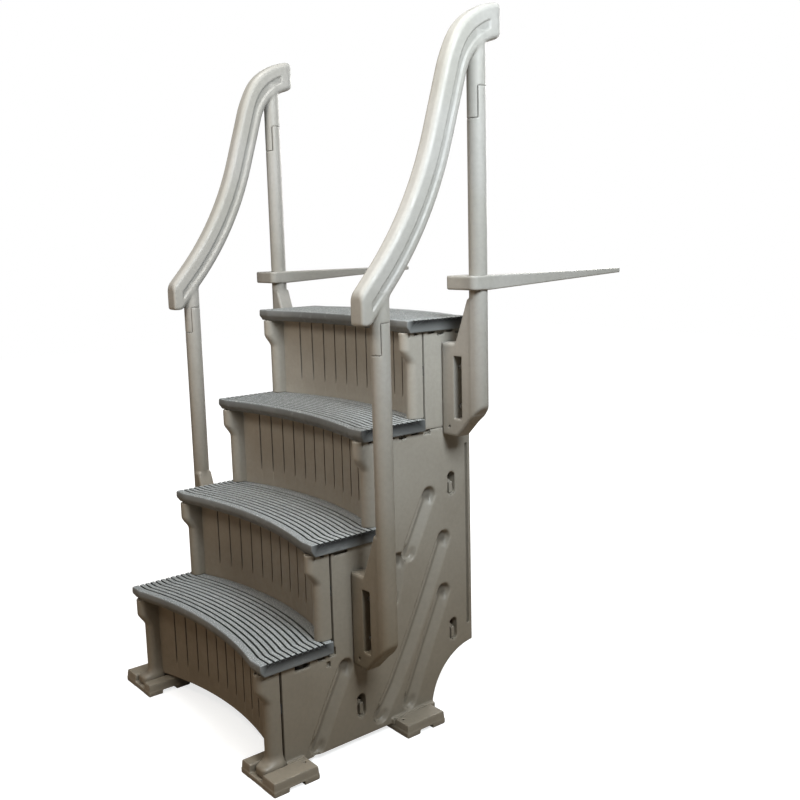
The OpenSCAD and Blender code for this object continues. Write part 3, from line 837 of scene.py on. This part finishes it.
def build_ties():
    for place in ("front", "low", "high"):
        lo, hi = node_box(f"cross_tie_{place}")
        low = (lo[0], lo[1] - TIE_MARGIN[0], lo[2] - HOOK_DROP + 3)
        high = hi + np.array([0, TIE_MARGIN[1], 0])
        points, faces = shape(tie_field(lo, high), low, high, (3, 2.2, 2.2))
        make_mesh(f"tie_bar_{place}", points, faces, "body_plastic", stands_for=[f"cross_tie_{place}"])


# ------------------------------------------------------------------ rear panels

REAR_SKIN = 6
RIB = 4  # half the thickness of a rib


def rear_panel_field(lo, hi):
    """A flat skin with upright and level ribs behind it."""
    upright = (lo[0] + RIB, lo[0] / 2, 0, hi[0] / 2, hi[0] - RIB)
    level = (lo[2] + RIB, (lo[2] + hi[2]) / 2, hi[2] - RIB)

    def field(x, y, z):
        skin = block((x, y, z), lo, (hi[0], lo[1] + REAR_SKIN, hi[2]), 2)
        ribs = FAR
        for cx in upright:
            ribs = np.minimum(ribs, span(x, cx - RIB, cx + RIB))
        for cz in level:
            ribs = np.minimum(ribs, span(z, cz - RIB, cz + RIB))
        inside = np.maximum(span(x, lo[0], hi[0]), span(z, lo[2], hi[2]))
        ribs = slab(np.maximum(ribs, inside), span(y, lo[1], hi[1]), 2)
        return join(skin, ribs, 4)

    return field


def build_rear_panels():
    for name in ("lower", "upper"):
        lo, hi = node_box(f"rear_panel_{name}")
        points, faces = shape(rear_panel_field(lo, hi), lo, hi, (3.5, 2.2, 3.5))
        make_mesh(f"rear_shell_{name}", points, faces, "body_plastic", stands_for=[f"rear_panel_{name}"])


# ------------------------------------------------------------------ feet

LEG_GAP = (287, 343)  # the leg stands between the two blocks of a foot
SOLE_T = 13.6
ARCH_HALF = 21
ARCH_H = 10
FOOT_HOLE_X = 360
FOOT_HOLE_R = 3.2


def foot_field(lo, hi, hole_y):
    """Two rounded blocks either side of the leg, on one sole with an arch under it."""
    mid = (lo[1] + hi[1]) / 2

    def field(x, y, z):
        p = (x, y, z)
        lean = (z - 14) * 0.16
        sole = block(p, (lo[0], lo[1], 0), (hi[0], hi[1], SOLE_T), 3)
        inner = block(p, (lo[0], lo[1], 0), (LEG_GAP[0], hi[1], hi[2]), 4)
        outer = block(p, (LEG_GAP[1], lo[1], 0), hi, 4)
        slope = np.maximum(span(y, lo[1], hi[1]), span(x, lo[0], hi[0])) + np.maximum(lean, 0)
        blocks = meet(np.minimum(inner, outer), slope, 3)
        body = join(sole, blocks, 3)
        arch = slab(span(y, mid - ARCH_HALF, mid + ARCH_HALF), z - ARCH_H, 3)
        body = cut(body, arch, 2)
        return cut(body, length(x - FOOT_HOLE_X, y - hole_y) - FOOT_HOLE_R, 1)

    return field


def build_feet():
    for place in ("front", "rear"):
        lo, hi = node_box(f"foot_{place}_right")
        hole_y = hi[1] - 16 if place == "front" else lo[1] + 16
        right = shape(foot_field(lo, hi, hole_y), lo, hi, (2.2, 2.2, 2.2))
        make_mesh(f"foot_{place}_shell_right", *right, "body_plastic", stands_for=[f"foot_{place}_right"])
        left = mirrored(*right)
        make_mesh(f"foot_{place}_shell_left", *left, "body_plastic", stands_for=[f"foot_{place}_left"])


# ------------------------------------------------------------------ posts

FLANGE_H = 236
FLARE_H = 110
SHELF_X = 380
CORNER = 60  # cut off the flange's lower outer corner
POCKET = ((378, -60, 46), (406, 7.5, 204))
BOLT_END_X = 392
DRAIN = (360, 24)
DRAIN_R = 4
SCREW_HEAD_R = 5.3
SCREW_SEAT_Y = 18.5


def post_field(post_x, flange_in):
    """A round post that widens into a flat flange beside the panel; y and z from its lower end's centre."""
    plate = [
        (flange_in, 0),
        (post_x - CORNER, 0),
        (post_x, CORNER),
        (post_x, FLANGE_H + FLARE_H),
        (post_x - 20, FLANGE_H + FLARE_H),
        (SHELF_X + 4, FLANGE_H + 4),
        (SHELF_X, FLANGE_H),
        (flange_in, FLANGE_H),
    ]

    def field(x, y, z):
        tube = length(x - post_x, y) - POST_R
        tube = meet(tube, span(z, 0, POST_L + LAP_L), 1)
        slope = ((x - post_x + CORNER) - z) * math.sqrt(0.5)
        tube = meet(tube, slope, 6)
        flat = outline(x, z, plate)
        flange = slab(flat, np.abs(y) - POST_R, 7)
        body = join(tube, flange, 5)
        body = cut(body, block((x, y, z), *POCKET, 2.5), 2)
        body = cut(body, length(x - DRAIN[0], z - DRAIN[1]) - DRAIN_R, 1)
        for up in BOLT_HEIGHTS:
            bolt = np.maximum(length(y, z - up) - BOLT_R, x - BOLT_END_X)
            body = cut(body, bolt, 0.5)
        lap = np.maximum(y - LAP_Y - LAP_GAP, POST_L - z)
        head = length(x - post_x, z - POST_L - LAP_L / 2) - SCREW_HEAD_R
        screw = np.maximum(head, SCREW_SEAT_Y - y)
        return cut(cut(body, lap, 0.8), screw, 0.5)

    return field


def build_posts():
    for place in ("front", "rear"):
        lo, hi = node_box(f"post_{place}_right")
        post_x, post_y = hi[0] - POST_R, (lo[1] + hi[1]) / 2
        field = post_field(post_x, lo[0])
        base = (lo[0], -POST_R, 0)
        points, faces = shape(field, base, (hi[0], POST_R, hi[2] - lo[2]), (2.4, 2.4, 3))
        right = (points + np.array([0, post_y, lo[2]]), faces)
        make_mesh(f"post_{place}_shell_right", *right, "rail_plastic", stands_for=[f"post_{place}_right"])
        left = mirrored(*right)
        make_mesh(f"post_{place}_shell_left", *left, "rail_plastic", stands_for=[f"post_{place}_left"])


# ------------------------------------------------------------------ handrails

# Centre line, in (Y, Z): a point on the straight foot, headings in degrees, straight lengths and radii
RAIL_START = (245, 1091)
HEADINGS = (49, 73, -2)
RAIL_FOOT, RAIL_RISE, RAIL_TOP = 70, 150, 80
RADII = (883, 172)

RAIL_HALF_T = 35
RAIL_HALF_W = 23
RAIL_EDGE = 15
RAIL_FOOT_Z = 1047
CREST_SWELL = 8  # the rail is this much thicker each way over the top
CREST_Z = 1640
GROOVE_OFF = -7
GROOVE_HALF = 8.4
GROOVE_ENDS = (250, 621)
STUB_TOPS = (1120, 1700)


def rail_path():
    """Straight foot, long gentle curve, straight rise, tight curve over the top, short straight end."""

    def step(p, angle, size):
        a = math.radians(angle)
        return (p[0] + size * math.cos(a), p[1] + size * math.sin(a))

    path = [step(RAIL_START, HEADINGS[0], -120), step(RAIL_START, HEADINGS[0], RAIL_FOOT)]

    def arc(a0, a1, r, parts):
        s = 1 if a1 > a0 else -1
        y, z = path[-1]
        for k in range(1, parts + 1):
            a = a0 + (a1 - a0) * k / parts
            b, c = math.radians(a), math.radians(a0)
            across, up = math.sin(b) - math.sin(c), math.cos(b) - math.cos(c)
            path.append((y + s * r * across, z - s * r * up))

    arc(HEADINGS[0], HEADINGS[1], RADII[0], 14)
    path.append(step(path[-1], HEADINGS[1], RAIL_RISE))
    arc(HEADINGS[1], HEADINGS[2], RADII[1], 24)
    path.append(step(path[-1], HEADINGS[2], RAIL_TOP))
    return path


def groove_depth(y, z, path):
    """Depth of the flat-bottomed groove along each flank of a handrail."""
    away, side, _ = along(y, z, path)
    high = ease((z - 1600) / 110)
    offset = away * side - GROOVE_OFF - 5 * high
    ends = ease((y - GROOVE_ENDS[0]) / 5) * ease((GROOVE_ENDS[1] - y) / 5)
    return 3.2 * ends * ease((GROOVE_HALF + 3 * high - np.abs(offset)) / 4.2)


def handrail_field(x_mid, lo, hi):
    path = rail_path()

    def stub(x, y, z, post, top):
        """Round end that laps in front of a post's upper end."""
        lap_z = post[1] + POST_L
        tube = length(x - x_mid, y - post[0]) - POST_R
        tube = meet(tube, span(z, lap_z + LAP_GAP, top), 1)
        lap = np.maximum(post[0] + LAP_Y - LAP_GAP - y, z - lap_z - LAP_L - LAP_GAP)
        return cut(tube, lap, 0.6)

    def field(x, y, z):
        away, _, _ = along(y, z, path)
        flank = np.abs(x - x_mid) - RAIL_HALF_W + groove_depth(y, z, path)
        swell = CREST_SWELL * ease((z - CREST_Z) / 90)
        bar = slab(away - RAIL_HALF_T - swell, flank, RAIL_EDGE)
        bar = meet(bar, lo[1] - y, 8)
        bar = meet(bar, RAIL_FOOT_Z - z, 8)
        bar = meet(bar, y - hi[1], 26)
        for post, top in zip((FRONT_POST, REAR_POST), STUB_TOPS):
            bar = join(bar, stub(x, y, z, post, top), 5)
        return bar

    return field


def build_handrails():
    lo, hi = node_box("handrail_right")
    field = handrail_field((lo[0] + hi[0]) / 2, lo, hi)
    top = hi + np.array([0, 0, CREST_SWELL + 1])
    right = shape(field, lo, top, (2.4, 2.6, 2.6))
    _, y, z = right[0].T
    # Painted shade in the handrail's groove.
    painted_shade = 0.045 * groove_depth(y, z, rail_path())
    make_mesh("handrail_shell_right", *right, "rail_plastic", "frame", ["handrail_right"], painted_shade)
    make_mesh("handrail_shell_left", *mirrored(*right), "rail_plastic", "frame", ["handrail_left"], painted_shade)


# ------------------------------------------------------------------ deck arms

COLLAR_LO = (-78, -40)
COLLAR_HI = (28, 30)
ARM_L = 506
ARM_H = 34
ARM_W = 40
TIP_RISE = 22  # the underside rises this much from collar to tip
DECK_HOLES = (200, 440)
DECK_HOLE_R = 4
CLAMP_R = 4.2
CLAMP_HEAD_R = 7.6
CLAMP_SEAT = 8


def deck_arm_field(x, y, z):
    """A collar and a level-topped plank; x and y from the post's axis, z from the collar's underside."""
    plan = slab(span(x, COLLAR_LO[0], COLLAR_HI[0]), span(y, COLLAR_LO[1], COLLAR_HI[1]), 17)
    collar = slab(plan, span(z, 0, ARM_H), 4)
    side = [(0, 0), (COLLAR_HI[1], 0), (ARM_L, TIP_RISE), (ARM_L, ARM_H), (0, ARM_H)]
    plank = slab(outline(y, z, side), span(x, COLLAR_HI[0] - ARM_W, COLLAR_HI[0]), 3)
    body = join(collar, plank, 3)
    body = cut(body, length(x, y) - POST_R - 0.6, 1.5)
    for hole_y in DECK_HOLES:
        body = cut(body, length(x - COLLAR_HI[0] + ARM_W / 2, y - hole_y) - DECK_HOLE_R, 1)
    off_axis = length(y, z - ARM_H / 2)
    rod = np.maximum(off_axis - CLAMP_R, x)
    head = np.maximum(off_axis - CLAMP_HEAD_R, x - COLLAR_LO[0] - CLAMP_SEAT)
    return cut(cut(body, rod, 0.5), head, 0.8)


def build_arms():
    low, high = (*COLLAR_LO, 0), (COLLAR_HI[0], ARM_L, ARM_H)
    points, faces = shape(deck_arm_field, low, high, (2.2, 2.4, 2.2))
    for side in ("right", "left"):
        lo, _ = node_box(f"deck_arm_{side}")
        place = lo - np.array([*COLLAR_LO, 0])
        name = f"arm_shell_{side}"
        make_mesh(name, points + place, faces, "rail_plastic", f"arm_{side}", [f"deck_arm_{side}"])


# ------------------------------------------------------------------ fasteners


def dress_cad_nodes():
    """The small parts keep their CAD meshes, with softened edges and a finish."""
    finishes = {"fill_plugs": "plug_plastic", "joint_clips": "plug_plastic"}
    for name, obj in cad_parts.items():
        if obj.hide_render:
            continue
        slot = finishes.get(name, "steel")
        obj.data.materials.clear()
        obj.data.materials.append(MATERIALS[slot])
        bevel = obj.modifiers.new("soft_edges", "BEVEL")
        bevel.width = 0.0004
        bevel.segments = 2
        bevel.limit_method = "ANGLE"


# ------------------------------------------------------------------ camera, light, floor


def build_floor():
    """A square floor, in metres."""
    size = 9.0
    mesh = bpy.data.meshes.new("floor")
    corners = [(-size, -size, 0), (size, -size, 0), (size, size, 0), (-size, size, 0)]
    mesh.from_pydata(corners, [], [(0, 1, 2, 3)])
    mesh.materials.append(paper())
    floor = bpy.data.objects.new("floor", mesh)
    bpy.context.scene.collection.objects.link(floor)


def place_camera():
    """The photograph's viewpoint: front right, just above the height of the top tread."""
    camera = bpy.data.objects.new("camera", bpy.data.cameras.new("camera"))
    camera.data.lens = 43.0
    yaw, pitch, roll = 0.8876, 0.1659, -0.0245
    level = Vector((-math.sin(yaw), math.cos(yaw), 0))
    ahead = level * math.cos(pitch) + Vector((0, 0, -math.sin(pitch)))
    right = Vector((math.cos(yaw), math.sin(yaw), 0))
    up = right.cross(ahead)
    side = right * math.cos(roll) + up * math.sin(roll)
    top = up * math.cos(roll) - right * math.sin(roll)
    turn = Matrix((side, top, -ahead)).transposed().to_4x4()
    camera.matrix_world = Matrix.Translation((2.1169, -1.0194 + FRONT, 1.2315)) @ turn
    bpy.context.scene.collection.objects.link(camera)
    bpy.context.scene.camera = camera


def area_light(name, place, target, size, power, colour):
    data = bpy.data.lights.new(name, "AREA")
    data.size = size
    data.energy = power
    data.color = colour
    light = bpy.data.objects.new(name, data)
    light.location = place
    light.visible_camera = False
    light.rotation_euler = (Vector(target) - Vector(place)).to_track_quat("-Z", "Y").to_euler()
    bpy.context.scene.collection.objects.link(light)


def build_world():
    """White to the camera, dim to everything else."""
    world = bpy.data.worlds.new("pale")
    world.use_nodes = True
    tree = world.node_tree
    white = tree.nodes["Background"]
    white.inputs["Color"].default_value = (1, 1, 1, 1)
    white.inputs["Strength"].default_value = 1.0
    dim = tree.nodes.new("ShaderNodeBackground")
    dim.inputs["Color"].default_value = (0.93, 0.97, 1.0, 1)
    dim.inputs["Strength"].default_value = 0.09
    seen = tree.nodes.new("ShaderNodeLightPath")
    mix = tree.nodes.new("ShaderNodeMixShader")
    tree.links.new(seen.outputs["Is Camera Ray"], mix.inputs[0])
    tree.links.new(dim.outputs[0], mix.inputs[1])
    tree.links.new(white.outputs[0], mix.inputs[2])
    tree.links.new(mix.outputs[0], tree.nodes["World Output"].inputs["Surface"])
    bpy.context.scene.world = world


def build_lights():
    middle = (0.2, 0.2, 1.1)
    area_light("key", (2.0, -0.1, 2.4), (0.3, 0.2, 1.0), 0.8, 70, (0.88, 0.95, 1.0))
    area_light("top", (0.2, -0.3, 3.7), (0.1, 0.0, 0.8), 1.4, 62, (1.0, 0.99, 0.97))
    area_light("front", (0.2, -1.1, 1.85), (0.0, 0.4, 0.8), 0.5, 10, (1.0, 0.92, 0.82))
    area_light("fill", (-0.9, -3.2, 0.7), middle, 1.6, 9, (1.0, 0.56, 0.24))
    area_light("back", (-1.2, 3.6, 2.2), middle, 2.0, 110, (1.0, 0.98, 0.95))
    build_world()
    bpy.context.scene.view_settings.view_transform = "Standard"


build_treads()
build_risers()
build_panels()
build_ties()
build_rear_panels()
build_feet()
build_posts()
build_handrails()
build_arms()
dress_cad_nodes()
build_floor()
place_camera()
build_lights()
